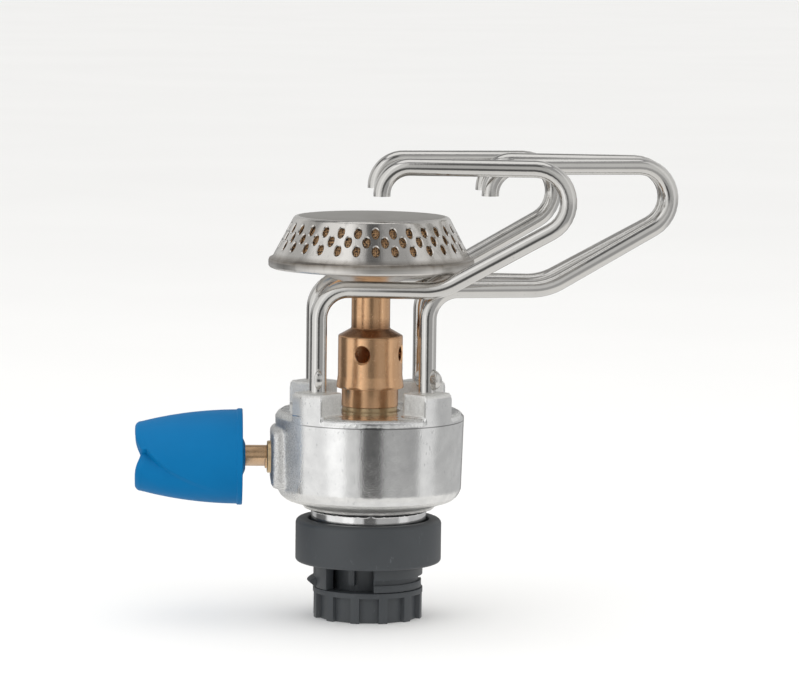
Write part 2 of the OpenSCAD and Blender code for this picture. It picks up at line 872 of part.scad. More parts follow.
module knob_shell() {
  last_ring = knob_rings + knob_edge_rings + knob_face_rings;
  last = last_ring * knob_sides;
  end_point = last + knob_sides;
  rim_point = end_point + 1;
  sides = [
    for (k = [0:last_ring - 1], j = [0:knob_sides - 1])
      let (p = k * knob_sides, q = p + knob_sides, n = (j + 1) % knob_sides)
        each [[p + j, q + j, p + n], [p + n, q + j, q + n]]
  ];
  end_faces = [for (j = [0:knob_sides - 1]) [last + j, end_point, last + (j + 1) % knob_sides]];
  rim_faces = [for (j = [0:knob_sides - 1]) [j, (j + 1) % knob_sides, rim_point]];
  polyhedron(points = knob_points, faces = concat(sides, end_faces, rim_faces), convexity = 4);
}

// The hollow moulded knob, with a hub that grips the spindle
module control_knob() {
  cavity_d = knob_d - 2 * knob_wall;
  cavity_end_d = knob_end_d - 2 * groove_depth;
  color("dodgerblue")
    on_spindle(knob_x0)
      difference() {
        union() {
          difference() {
            union() {
              knob_shell();
              cylinder(d = knob_d + 2 * knob_lip, h = knob_lip_h);
            }
            translate([0, 0, -overrun])
              cylinder(d1 = cavity_d, d2 = cavity_end_d, h = knob_cavity_h + overrun);
          }
          cylinder(d = knob_hub_d, h = knob_cavity_h + overrun);
          translate([0, 0, -knob_hub_h])
            cylinder(d1 = knob_hub_d - knob_hub_taper, d2 = knob_hub_d, h = knob_hub_h);
        }
        translate([0, 0, -knob_hub_h - overrun])
          cylinder(d = spindle_d + 2 * seat_gap, h = knob_grip + knob_hub_h + 2 * overrun);
      }
}

// Connector

module connector_collar() {
  r = collar_d / 2;
  top_f = collar_top_fillet;
  low_f = collar_low_fillet;
  bore_r = plug_flange_d / 2 + seat_gap;
  color("darkslategray")
    rotate_extrude()
      polygon([
        [collar_lip_d / 2, collar_z0],
        [r - low_f, collar_z0],
        [r - low_f * fillet_share, collar_z0 + low_f * fillet_share],
        [r, collar_z0 + low_f],
        [r, collar_z1 - top_f],
        [r - top_f * fillet_share, collar_z1 - top_f * fillet_share],
        [r - top_f, collar_z1],
        [bore_r, collar_z1],
        [bore_r, flange_z0],
        [collar_lip_d / 2, flange_z0]
      ]);
}

// The grooved wall segments that grip the cartridge's collar
module claws() {
  inner_r = claw_r - claw_wall;
  lip_r = claw_r - claw_lip_inset;
  groove_r = claw_r - claw_groove_inset;
  groove_z = claw_z0 + claw_groove_rise;
  intersection() {
    rotate_extrude()
      polygon([
        [inner_r, claw_z0],
        [lip_r, claw_z0],
        [lip_r, groove_z],
        [groove_r, groove_z],
        [groove_r, groove_z + claw_groove_h],
        [claw_r, groove_z + claw_groove_h],
        [claw_r, plug_top],
        [inner_r, plug_top]
      ]);
    for (span = claw_spans)
      wedge(ring_d, span[0], span[1], plug_top);
  }
}

// The plain post next to the claws, with the pointed nub that catches the cartridge
module post() {
  inner_r = claw_r - claw_wall;
  nub_r = claw_r + nub_reach;
  peak_z = claw_z0 + nub_h * nub_peak_share;
  intersection() {
    translate([0, 0, claw_z0])
      ring(2 * claw_r, 2 * inner_r, plug_top - claw_z0);
    wedge(ring_d, post_span[0], post_span[1], plug_top);
  }
  intersection() {
    rotate_extrude()
      polygon([
        [inner_r, claw_z0],
        [claw_r, claw_z0],
        [nub_r - claw_lip_inset, peak_z - claw_lip_inset],
        [nub_r, peak_z],
        [nub_r - claw_lip_inset, peak_z + claw_lip_inset],
        [claw_r, claw_z0 + nub_h],
        [inner_r, claw_z0 + nub_h]
      ]);
    wedge(2 * nub_r, nub_span[0], nub_span[1], plug_top);
  }
}

module connector_plug() {
  color("darkslategray")
    difference() {
      union() {
        translate([0, 0, flange_z0])
          cylinder(d = plug_flange_d, h = plug_flange_h);
        cylinder(d = core_d, h = plug_top);
        claws();
        post();
        rotate([0, 0, tab_angle - 90])
          translate([(core_d - core_wall) / 2, -tab_w / 2, collar_z0 - tab_len])
            cube([core_wall / 2 + tab_t, tab_w, plug_top - collar_z0 + tab_len]);
      }
      translate([0, 0, -overrun])
        cylinder(d = socket_d, h = socket_h + overrun);
      translate([0, 0, socket_h - overrun])
        cylinder(d = socket_d - 2 * seal_ledge, h = plug_top - socket_h + 2 * overrun);
      translate([0, 0, circlip_lift - face_gap])
        ring(core_d + 2 * overrun, circlip_groove_d, circlip_h + 2 * face_gap);
      at_screws(flange_z0 - overrun)
        cylinder(d = screw_d + 2 * seat_gap, h = plug_flange_h + 2 * overrun);
    }
}

module connector_screws() {
  color("silver") {
    at_screws(flange_z0)
      cylinder(d = screw_d, h = plug_flange_h + screw_depth - face_gap);
    at_screws(flange_z0 - screw_head_h)
      cylinder(d = screw_head_d, h = screw_head_h);
  }
}

// The turning ring: a plain band with ribs below it, which a hand or the cartridge drives
module locking_ring() {
  shelf_z = circlip_lift + circlip_h + face_gap;
  pitch = 360 / ring_ribs;
  gap_h = ring_h - ring_band_h;
  color("darkslategray")
    difference() {
      cylinder(d = ring_d, h = ring_h);
      translate([0, 0, -overrun])
        cylinder(d = core_d + 2 * run_gap, h = ring_h + 2 * overrun);
      translate([0, 0, -overrun])
        cylinder(d = circlip_d + 2 * face_gap, h = shelf_z + overrun);
      for (i = [0:ring_ribs - 1])
        rotate([0, 0, rib_turn + pitch * i])
          translate([0, 0, -overrun])
            difference() {
              intersection() {
                ring(ring_d + 2 * overrun, ring_d - 2 * rib_depth, gap_h + overrun);
                wedge(ring_d + 2 * overrun, 0, pitch, gap_h + overrun);
              }
              for (turn = [0, pitch])
                rotate([0, 0, turn - 90])
                  translate([0, -rib_w / 2, -overrun])
                    cube([ring_d, rib_w, ring_h]);
            }
    }
}

module ring_circlip() {
  color("dimgray")
    translate([0, 0, circlip_lift])
      difference() {
        ring(circlip_d, circlip_groove_d + 2 * seat_gap, circlip_h);
        translate([0, 0, -overrun])
          wedge(circlip_d, 0, circlip_opening, circlip_h + 2 * overrun);
      }
}

// The hollow nipple that presses the cartridge's valve open
module inlet_nipple() {
  recess_z1 = plug_top + nipple_flange_h;
  nipple_z1 = recess_z1 + inlet_thread_len;
  color("goldenrod")
    difference() {
      union() {
        translate([0, 0, nipple_z0])
          cylinder(d = nipple_d, h = plug_top - nipple_z0);
        translate([0, 0, plug_top])
          cylinder(d = nipple_flange_d, h = nipple_flange_h);
        translate([0, 0, recess_z1])
          cylinder(d = inlet_thread_d, h = inlet_thread_len);
      }
      translate([0, 0, nipple_z0 - overrun])
        cylinder(d = nipple_hole_d, h = nipple_z1 - nipple_z0 + 2 * overrun);
      translate([0, 0, nipple_z1 - inlet_filter_h])
        cylinder(d = inlet_filter_d + 2 * seat_gap, h = inlet_filter_h + overrun);
    }
}

module inlet_seal() {
  color("black")
    translate([0, 0, plug_top - seal_h])
      ring(socket_d - 2 * seal_ledge - 2 * seat_gap, nipple_d + 2 * seat_gap, seal_h);
}

module inlet_filter() {
  color("darkgoldenrod")
    translate([0, 0, plug_top + nipple_flange_h + inlet_thread_len - inlet_filter_h])
      cylinder(d = inlet_filter_d, h = inlet_filter_h);
}

valve_body();
support_front_left();
support_back_left();
support_front_right();
support_back_right();
support_snap_rings();
jet_washer();
jet_holder();
jet_filter();
jet();
burner_tube();
burner_pan();
burner_gauze();
burner_cap();
gland_washer();
gland_nut();
spindle_o_ring();
valve_spindle();
control_knob();
knob_clip();
connector_collar();
connector_plug();
connector_screws();
locking_ring();
ring_circlip();
inlet_nipple();
inlet_seal();
inlet_filter();
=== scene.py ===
import math
import bpy
from mathutils import Matrix, Vector, noise


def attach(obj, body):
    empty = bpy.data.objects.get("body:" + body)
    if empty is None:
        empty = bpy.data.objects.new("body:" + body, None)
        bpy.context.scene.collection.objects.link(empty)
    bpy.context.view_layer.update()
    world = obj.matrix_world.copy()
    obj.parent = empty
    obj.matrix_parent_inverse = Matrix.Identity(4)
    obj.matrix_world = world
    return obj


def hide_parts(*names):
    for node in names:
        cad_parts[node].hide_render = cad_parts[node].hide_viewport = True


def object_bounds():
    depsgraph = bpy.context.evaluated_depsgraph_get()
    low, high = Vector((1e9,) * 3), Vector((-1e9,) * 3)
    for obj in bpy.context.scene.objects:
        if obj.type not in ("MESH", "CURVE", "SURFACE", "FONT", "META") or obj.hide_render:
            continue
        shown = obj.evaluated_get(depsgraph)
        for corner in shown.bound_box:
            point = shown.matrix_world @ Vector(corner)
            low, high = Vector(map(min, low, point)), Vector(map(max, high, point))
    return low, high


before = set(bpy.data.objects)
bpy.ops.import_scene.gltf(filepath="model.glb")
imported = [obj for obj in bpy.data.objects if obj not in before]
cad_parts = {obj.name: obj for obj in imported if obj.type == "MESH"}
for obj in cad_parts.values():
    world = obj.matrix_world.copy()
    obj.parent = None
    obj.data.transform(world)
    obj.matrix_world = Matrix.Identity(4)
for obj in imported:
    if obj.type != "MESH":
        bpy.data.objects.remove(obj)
cad_low, cad_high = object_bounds()

# The studio: a long lens a metre away, a pale floor, a white sky and three soft lamps. A round wall
# of bright and dark panels stands about the stove, and only polished faces show it.
scene = bpy.context.scene
scene.view_settings.view_transform = "Standard"
AIM = Vector((0.00685, 0, 0.06313))
CAMERA_TURN = math.radians(3.05)
CAMERA_RISE = math.radians(6.1)
CAMERA_ROLL = math.radians(0.7)
towards_camera = Vector((
    -math.sin(CAMERA_TURN) * math.cos(CAMERA_RISE),
    -math.cos(CAMERA_TURN) * math.cos(CAMERA_RISE),
    math.sin(CAMERA_RISE)))
camera = bpy.data.objects.new("camera", bpy.data.cameras.new("camera"))
camera.data.lens = 191.64
camera.data.sensor_width = 36
camera.data.clip_end = 100
camera.matrix_world = (
    Matrix.Translation(AIM + towards_camera)
    @ (-towards_camera).to_track_quat("-Z", "Y").to_matrix().to_4x4()
    @ Matrix.Rotation(CAMERA_ROLL, 4, "Z"))
scene.collection.objects.link(camera)
scene.camera = camera


class Number:
    """A number in a finish: sums and products of it add Math nodes."""

    def __init__(self, finish, socket):
        self.finish, self.socket = finish, socket

    def __add__(self, other):
        return self.finish.math("ADD", self, other)

    def __mul__(self, other):
        return self.finish.math("MULTIPLY", self, other)

    __radd__, __rmul__ = __add__, __mul__

    def __sub__(self, other):
        return self.finish.math("SUBTRACT", self, other)

    def __rsub__(self, other):
        return self.finish.math("SUBTRACT", other, self)

    def __truediv__(self, other):
        return self.finish.math("DIVIDE", self, other)

    def __pow__(self, other):
        return self.finish.math("POWER", self, other)

    def between(self, low, high):
        """0 below low, 1 above high, and even in between."""
        return self.finish.node(
            "MapRange", {}, {"Value": self, "From Min": low, "From Max": high})


class Finish:
    """A material's nodes, with the surface's own shader ready."""

    def __init__(self, name, tree=None, **sockets):
        if tree is None:
            self.material = bpy.data.materials.new(name)
            self.material.use_nodes = True
            tree = self.material.node_tree
        self.tree = tree
        self.surface = tree.nodes.get("Principled BSDF")
        for socket, value in sockets.items():
            self.feed(socket.replace("_", " ").title(), value)

    def node(self, kind, settings, sockets, out=0):
        """Adds a node, sets it up and gives one of its outputs."""
        made = self.tree.nodes.new("ShaderNode" + kind)
        for name, value in settings.items():
            setattr(made, name, value)
        for name, value in sockets.items():
            self.put(made.inputs[name], value)
        return Number(self, made.outputs[out])

    def math(self, operation, *values):
        return self.node("Math", {"operation": operation}, dict(enumerate(values)))

    def put(self, socket, value):
        """Links or sets a socket. A colour may be given without its alpha."""
        if isinstance(value, Number):
            self.tree.links.new(value.socket, socket)
        elif socket.type == "RGBA" and len(value) == 3:
            socket.default_value = (*value, 1)
        else:
            socket.default_value = value

    def feed(self, socket, value):
        """Gives one of the surface's own sockets a value or a pattern."""
        self.put(self.surface.inputs[socket], value)

    def place(self, axis=None):
        """Where a point is on the object, or one of its three numbers in millimetres."""
        spot = self.node("TexCoord", {}, {}, "Object")
        return spot if axis is None else self.node("SeparateXYZ", {}, {0: spot}, axis) * 1000

    def grain(self, size, detail=3, stretch=(1, 1, 1), rough=0.5):
        """Noise with spots of a size in millimetres, stretched along the axes."""
        spot = self.node("Mapping", {}, {"Vector": self.place(), "Scale": stretch})
        return self.node("TexNoise", {}, {
            "Vector": spot, "Scale": 1000 / size, "Detail": detail, "Roughness": rough}, "Fac")

    def shade(self, share, first, second):
        """A colour between two, by share."""
        return self.node("Mix", {"data_type": "RGBA"}, {0: share, 6: first, 7: second}, 2)

    def relief(self, height, depth):
        """Bumps of a depth in millimetres."""
        self.feed("Normal", self.node(
            "Bump", {}, {"Height": height, "Distance": depth / 1000, "Strength": 1.0}))


SKY_LIGHT = 1.06
SKY_MIRRORED, SKY_MIRRORED_FALL = 0.85, 0.58
world = bpy.data.worlds.new("studio")
world.use_nodes = True
scene.world = world
sky = Finish("sky", world.node_tree)
mirrored = sky.node("LightPath", {}, {}, "Is Glossy Ray")
height = sky.node("SeparateXYZ", {}, {0: sky.node("TexCoord", {}, {}, "Generated")}, 2)
light = (mirrored * (SKY_MIRRORED - height.between(-0.3, 0.2) * SKY_MIRRORED_FALL)
         + (1 - mirrored) * SKY_LIGHT)
backdrop = world.node_tree.nodes["Background"]
sky.put(backdrop.inputs["Color"], (1, 0.995, 0.985))
sky.put(backdrop.inputs["Strength"], light)

for name, place, size, power in (
        ("left soft box", (-0.55, -0.55, 0.45), 0.5, 0.8),
        ("right soft box", (0.6, -0.45, 0.35), 0.4, 0.45),
        ("top soft box", (0.0, 0.1, 0.8), 0.7, 1.1)):
    lamp = bpy.data.objects.new(name, bpy.data.lights.new(name, "AREA"))
    lamp.data.size = size
    lamp.data.energy = power
    lamp.matrix_world = (
        Matrix.Translation(place)
        @ (Vector(place) - AIM).to_track_quat("Z", "Y").to_matrix().to_4x4())
    scene.collection.objects.link(lamp)

bpy.ops.object.select_all(action="DESELECT")
bpy.ops.mesh.primitive_plane_add(size=60, location=(0, 0, cad_low.z))
floor = bpy.context.object
floor.name = "studio_floor"
paper = Finish("pale paper", roughness=0.9)
paper.feed("Base Color", paper.shade(paper.grain(180), (0.86, 0.86, 0.855), (0.9, 0.9, 0.895)))
floor.data.materials.append(paper.material)
floor.visible_glossy = False

PANELS_R, PANELS_HIGH, PANELS_MIDDLE = 0.25, 0.9, 0.15
# Each strip of the wall: where it starts in degrees, how soft its edge is, and how bright it is.
STRIPS = (
    (-180, 0, 0.2), (-150, 6, 0.5), (-129, 3, 0.13), (-93, 3, 0.92), (-54, 3, 1.15), (-31, 2, 0.68),
    (-12, 1, 0.1), (12, 1, 0.4), (59, 2, 0.78), (82, 4, 0.52), (157, 6, 0.2))
bpy.ops.mesh.primitive_cylinder_add(
    vertices=128, radius=PANELS_R, depth=PANELS_HIGH, end_fill_type="NOTHING")
surround = bpy.context.object
surround.name = "studio_panels"
surround.data.transform(Matrix.Translation((0, 0, PANELS_MIDDLE)))
surround.location = (0, 0, 0)
for ray in ("camera", "diffuse", "shadow", "transmission", "volume_scatter"):
    setattr(surround, f"visible_{ray}", False)
panels = Finish("light panels")
turn = panels.math("ARCTAN2", panels.place(0), panels.place(1) * -1)
strips = panels.node("ValToRGB", {}, {0: turn * (1 / (2 * math.pi)) + 0.5})
ramp = strips.socket.node.color_ramp
ramp.elements.remove(ramp.elements[0])
for k, (degrees, soft, glow) in enumerate(STRIPS):
    start, blur = (degrees + 180) / 360, soft / 360
    if k:
        ramp.elements.new(start - blur).color = (before, before, before, 1)
        element = ramp.elements.new(start + blur)
    else:
        element = ramp.elements[0]
        element.position = start
    element.color = (glow, glow, glow, 1)
    before = glow
level = panels.place(2)
overhead = level.between(430, 560)
underfoot = 1 - level.between(-70, -12)
waist = level.between(70, 110) * (1 - level.between(240, 320))
wall = panels.shade(waist * 0.55, strips, (0.85, 0.85, 0.84))
wall = panels.shade(underfoot * 0.9, wall, (0.9, 0.89, 0.87))
panels.feed("Emission Color", panels.shade(overhead, wall, (0.27, 0.27, 0.28)))
panels.feed("Emission Strength", 1.0)
panels.feed("Base Color", (0, 0, 0))
panels.feed("Specular IOR Level", 0)
surround.data.materials.append(panels.material)


# The valve body: a zinc casting with its drum turned bright. The rest stays rough from the mould,
# with soft corners, and carries four bosses, the spindle's pad and the neck for the connector.
MM = 0.001
DRUM_R, DRUM_LOW_R, DRUM_LOW, DRUM_TOP = 22.2, 21.7, 30.4, 49.0
DRUM_FILLET = 1.8
DRUM_FOOT_R, DRUM_FOOT_Z, CONE_R, CONE_Z = 20.94, 29.0, 19.8, 28.0
BOSS_TOP, BOSS_INNER, BOSS_HALF = 54.5, 14.4, 4.45
BOSS_ROOT_R, BOSS_ROOT_Z = 12, 46
ARM_LOW, ARM_TOP, ARM_REACH = 45, 56, 24
NECK_R, NECK_LOW, NECK_TOP = 13.6, 16.4, 26.7
NECK_STEP_R, NECK_STEP, NECK_TURNED = 15.5, 0.9, 25.7
SEAT_R, SEAT_Z = 7.15, 47.6
PAD_X, PAD_HALF_W, PAD_LOW, PAD_TOP = 23.25, 9.0, 30.9, 44.9
PAD_ROOT_X, PAD_EDGE = 14, 1.6
CAST_GRID = 0.36
NUT_POCKET_R, NUT_POCKET_DEPTH = 3.82, 3
SPINDLE_Z = 37.7


def only(*objects):
    """Selects these objects and nothing else."""
    bpy.ops.object.select_all(action="DESELECT")
    for obj in objects:
        obj.select_set(True)
    bpy.context.view_layer.objects.active = objects[0]


def rounded(corners, steps=5):
    """An outline's points in millimetres, where a corner's third number is its radius."""
    points = []
    for i, (x, y, radius) in enumerate(corners):
        corner = Vector((x, y))
        if radius == 0:
            points.append(corner)
            continue
        back = (Vector(corners[i - 1][:2]) - corner).normalized()
        on = (Vector(corners[(i + 1) % len(corners)][:2]) - corner).normalized()
        half = back.angle(on) / 2
        centre = corner + (back + on).normalized() * (radius / math.sin(half))
        start = corner + back * (radius / math.tan(half)) - centre
        sweep = math.copysign(math.pi - 2 * half, back.y * on.x - back.x * on.y)
        for k in range(steps + 1):
            a = sweep * k / steps
            points.append(centre + Vector((
                start.x * math.cos(a) - start.y * math.sin(a),
                start.x * math.sin(a) + start.y * math.cos(a))))
    return points


def drawn(name, points, edges, faces=()):
    """A new mesh object from points in millimetres."""
    mesh = bpy.data.meshes.new(name)
    mesh.from_pydata([Vector(p) * MM for p in points], edges, faces)
    obj = bpy.data.objects.new(name, mesh)
    scene.collection.objects.link(obj)
    return obj


def spun(name, outline, turns=160, closed=True):
    """Turns an outline of radius and height round the Z axis."""
    count = len(outline)
    edges = [(i, (i + 1) % count) for i in range(count if closed else count - 1)]
    obj = drawn(name, [(x, 0, z) for x, z in outline], edges)
    only(obj)
    bpy.ops.object.mode_set(mode="EDIT")
    bpy.ops.mesh.select_all(action="SELECT")
    bpy.ops.mesh.spin(steps=turns, angle=2 * math.pi, center=(0, 0, 0), axis=(0, 0, 1))
    bpy.ops.mesh.select_all(action="SELECT")
    bpy.ops.mesh.remove_doubles(threshold=0.000002)
    bpy.ops.mesh.normals_make_consistent(inside=False)
    bpy.ops.object.mode_set(mode="OBJECT")
    return obj


def apply_modifier(obj, kind, **settings):
    """Adds a modifier with its settings and applies it."""
    modifier = obj.modifiers.new(kind.lower(), kind)
    for name, value in settings.items():
        setattr(modifier, name, value)
    only(obj)
    bpy.ops.object.modifier_apply(modifier=modifier.name)


def combine(obj, other, operation):
    """Adds, cuts or keeps what is common, and removes the other piece."""
    apply_modifier(obj, "BOOLEAN", object=other, operation=operation, solver="EXACT")
    bpy.data.objects.remove(other)


def block(name, low, high, turn=0):
    """A block between two corners in millimetres, turned about the Z axis."""
    bpy.ops.object.select_all(action="DESELECT")
    bpy.ops.mesh.primitive_cube_add(size=1)
    obj = bpy.context.object
    obj.name = name
    middle = (Vector(low) + Vector(high)) / 2 * MM
    span = (Vector(high) - Vector(low)) * MM
    obj.data.transform(
        Matrix.Rotation(turn, 4, "Z") @ Matrix.Translation(middle) @ Matrix.Diagonal((*span, 1)))
    return obj


def fitted(obj, finish, body, slot, *nodes, angle=35):
    """Gives a piece smooth faces and its finish, ties it to the body it rides on, and hides the CAD
    nodes it stands for.
    """
    only(obj)
    bpy.ops.object.shade_smooth_by_angle(angle=math.radians(angle))
    obj.data.materials.clear()
    obj.data.materials.append(finish.material)
    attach(obj, body)
    if nodes:
        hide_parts(*nodes)
    return obj


def dressed(finish, *nodes):
    """Gives CAD nodes that keep their own shape a finish."""
    for node in nodes:
        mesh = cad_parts[node].data
        mesh.materials.clear()
        mesh.materials.append(finish.material)


body = spun("valve_body_casting", [(0, NECK_LOW)] + [tuple(p) for p in rounded([
    (NECK_R, NECK_LOW, 0.4), (NECK_R, NECK_TOP - NECK_STEP, 0.3),
    (NECK_STEP_R, NECK_TOP - NECK_STEP, 0.3), (NECK_STEP_R, NECK_TOP, 0.3),
    (CONE_R, CONE_Z, 1.0), (DRUM_FOOT_R, DRUM_FOOT_Z, 1.0), (DRUM_LOW_R, DRUM_LOW, 0.8),
    (DRUM_R, DRUM_TOP, DRUM_FILLET), (SEAT_R, DRUM_TOP, 0.2), (SEAT_R, SEAT_Z, 0)])]
    + [(0, SEAT_Z)], closed=False)
bosses = spun("bosses", rounded([
    (BOSS_ROOT_R, BOSS_ROOT_Z, 0), (DRUM_R, BOSS_ROOT_Z, 0),
    (DRUM_R, BOSS_TOP, 0.9), (BOSS_ROOT_R, BOSS_TOP, 0)]))
arms = [
    block(f"arm_{k}", (BOSS_INNER, -BOSS_HALF, ARM_LOW), (ARM_REACH, BOSS_HALF, ARM_TOP),
          math.radians(45 + 90 * k))
    for k in range(4)]
only(*arms)
bpy.ops.object.join()
combine(bosses, arms[0], "INTERSECT")
combine(body, bosses, "UNION")
pad = block("pad", (-PAD_X, -PAD_HALF_W, PAD_LOW), (-PAD_ROOT_X, PAD_HALF_W, PAD_TOP))
apply_modifier(pad, "BEVEL", width=PAD_EDGE * MM, segments=4, limit_method="ANGLE")
combine(body, pad, "UNION")
nut_pocket = spun("nut_pocket", [
    (0, -NUT_POCKET_DEPTH), (NUT_POCKET_R, -NUT_POCKET_DEPTH),
    (NUT_POCKET_R, NUT_POCKET_DEPTH), (0, NUT_POCKET_DEPTH)], 64, closed=False)
nut_pocket.data.transform(
    Matrix.Translation(Vector((-PAD_X, 0, SPINDLE_Z)) * MM)
    @ Matrix.Rotation(math.radians(90), 4, "Y"))
combine(body, nut_pocket, "DIFFERENCE")
apply_modifier(body, "REMESH", mode="VOXEL", voxel_size=CAST_GRID * MM)
apply_modifier(body, "SMOOTH", factor=0.5, iterations=4)


WALL_FROM, WALL_TO = 30.8, 53.4
NEAR_WALL, NEAR_FACE = 0.16, 0.12
CAST_SKIN, CAST_RIPPLE, CAST_PITS = -0.03, 0.05, 0.04


def settled(point):
    """Puts a point of the casting back on the true face that it lies near."""
    x, y, z = point
    r = math.hypot(x, y)
    by_pad = x < -17 and abs(y) < PAD_HALF_W + 1 and z < PAD_TOP + 1
    rise = (z - DRUM_LOW) / (DRUM_TOP - DRUM_FILLET - DRUM_LOW)
    wall = DRUM_LOW_R + (DRUM_R - DRUM_LOW_R) * min(max(rise, 0), 1)
    along, across = (abs(x) + abs(y)) / math.sqrt(2), (abs(x) - abs(y)) / math.sqrt(2)
    if not by_pad and WALL_FROM < z < WALL_TO and abs(r - wall) < NEAR_WALL:
        x, y = x * wall / r, y * wall / r
    elif z < NECK_TOP - 1 and abs(r - NECK_R) < NEAR_WALL:
        x, y = x * NECK_R / r, y * NECK_R / r
    elif abs(z - DRUM_TOP) < NEAR_FACE and r > SEAT_R + 0.45:
        z = DRUM_TOP
    elif abs(z - BOSS_TOP) < NEAR_FACE:
        z = BOSS_TOP
    elif z > DRUM_TOP + 0.4 and abs(abs(across) - BOSS_HALF) < NEAR_FACE:
        shift = (BOSS_HALF - abs(across)) * math.copysign(1, across) / math.sqrt(2)
        x, y = x + math.copysign(shift, x), y - math.copysign(shift, y)
    elif z > DRUM_TOP + 0.4 and abs(along - BOSS_INNER) < NEAR_FACE:
        shift = (BOSS_INNER - along) / math.sqrt(2)
        x, y = x + math.copysign(shift, x), y + math.copysign(shift, y)
    elif by_pad and abs(x + PAD_X) < NEAR_FACE:
        x = -PAD_X
    return Vector((x, y, z))


outward = [vertex.normal.copy() for vertex in body.data.vertices]
for vertex, normal in zip(body.data.vertices, outward):
    spot = settled(vertex.co / MM)
    by_wall = DRUM_LOW_R - 0.05 < math.hypot(spot.x, spot.y) < DRUM_R + 0.06
    if spot.z > NECK_TURNED and not (by_wall and DRUM_FOOT_Z < spot.z < WALL_TO):
        ripple = CAST_RIPPLE * noise.noise(spot * 0.9) + CAST_PITS * noise.noise(spot * 2.1)
        spot += normal * (ripple + CAST_SKIN)
    vertex.co = spot * MM

zinc = Finish("zinc casting", metallic=1.0)
radius = (zinc.place(0) ** 2 + zinc.place(1) ** 2) ** 0.5
level = zinc.place(2)
on_wall = radius.between(21.55, 21.65)
on_foot = radius.between(20.2, 20.4) * (1 - level.between(32, 33))
on_deck = level.between(48.85, 48.92) * (1 - level.between(49.08, 49.15))
on_neck = (1 - level.between(NECK_TURNED - 0.1, NECK_TURNED)) * (1 - radius.between(13.8, 14.0))
upright = level.between(28.8, DRUM_FOOT_Z) * (1 - level.between(53.3, 53.8))
beside_pad = (1 - radius.between(22.28, 22.36)) * zinc.place(0).between(-18.2, -15.5)
bright = zinc.math("MINIMUM", (on_wall + on_foot) * upright * beside_pad, 1)
machined = 1 - (1 - bright) * (1 - on_deck) * (1 - on_neck)
pits = zinc.grain(0.35, 2, rough=0.6)
mottle = zinc.grain(3.5, 4)
flecks = zinc.grain(0.5, 2, (1, 1, 0.45)).between(0.63, 0.7)
flecks = flecks * zinc.grain(2.4, 2).between(0.45, 0.65) * 0.6
raw = zinc.shade(pits.between(0.35, 0.7), (0.56, 0.56, 0.55), (0.90, 0.90, 0.89))
# Painted light: below 28.8 mm the drum's underside, cone and neck step are lightened towards cream
# where they lie in shade; the bosses above 49.1 mm are made lighter as well.
lighter_bosses_and_painted_light = level.between(49.1, 49.4) + 1 - level.between(28.8, DRUM_FOOT_Z)
raw = zinc.shade(lighter_bosses_and_painted_light * 0.6, raw, (0.86, 0.85, 0.82))
turned_colour = zinc.shade(mottle.between(0.3, 0.7), (0.74, 0.74, 0.735), (0.86, 0.86, 0.85))
turned_colour = zinc.shade(flecks * 0.55, turned_colour, (0.33, 0.34, 0.35))
# Painted shade: a dark line where the turned wall ends, standing in for the shade in the groove at
# the parting line.
parting_groove_painted_shade = level.between(46.85, 46.95) * (1 - level.between(47.1, 47.2)) * bright
turned_colour = zinc.shade(parting_groove_painted_shade * 0.75, turned_colour, (0.16, 0.16, 0.16))
zinc.feed("Base Color", zinc.shade(machined, raw, turned_colour))
zinc.feed("Roughness", 0.46 - machined * 0.34 + (mottle - 0.5) * 0.12 + flecks * 0.14)
cast_relief = pits * (1 - machined * 0.95) * (1 - level.between(49.1, 49.4) * 0.7)
wall_relief = flecks * bright * -0.15 + mottle * bright * 0.2 + zinc.grain(0.28, 2) * bright * 0.17
zinc.relief(cast_relief + wall_relief, 0.12)
fitted(body, zinc, "stove", "cast_body", "valve_body", angle=60)


# The pot supports: four bent stainless wires, polished. Each turns on its straight stem in a boss,
# and two ears pressed out of the stem keep it from sinking in.
WIRE_R = 2.0
STEM = 12.7
STEM_FOOT, RUN_Z, BAR_Z = 48, 78.6, 107.2
RUN_END, KNEE, TIP_X, TIP_Z = 28.2, 79.37, 14.4, 100.3
RUN_BEND, CLIMB_BEND, KNEE_BEND, TIP_BEND = 7, 14, 7.7, 6.5
EAR_R, EAR_HALF, EAR_Z = 2.5, 0.95, 57.7
EAR_STANDS = ((0, 1.7), (180, 1.2))
wire_steel = Finish("polished steel wire", metallic=1.0)
clouds = wire_steel.grain(6, 3)
marks = wire_steel.grain(0.4, 3).between(0.66, 0.72) * wire_steel.grain(3.1, 2).between(0.5, 0.62)
steel = wire_steel.shade(clouds, (0.64, 0.63, 0.61), (0.74, 0.725, 0.70))
wire_steel.feed("Base Color", wire_steel.shade(marks * 0.5, steel, (0.25, 0.25, 0.25)))
wire_steel.feed("Roughness", 0.06 + clouds * 0.08 + marks * 0.2)
wire_steel.relief(wire_steel.grain(0.25, 2) * 0.35 + clouds, 0.02)
path = rounded([
    (0, STEM_FOOT, 0), (0, RUN_Z, RUN_BEND), (RUN_END, RUN_Z, CLIMB_BEND),
    (KNEE, BAR_Z, KNEE_BEND), (TIP_X, BAR_Z, TIP_BEND), (TIP_X, TIP_Z, 0)], 14)
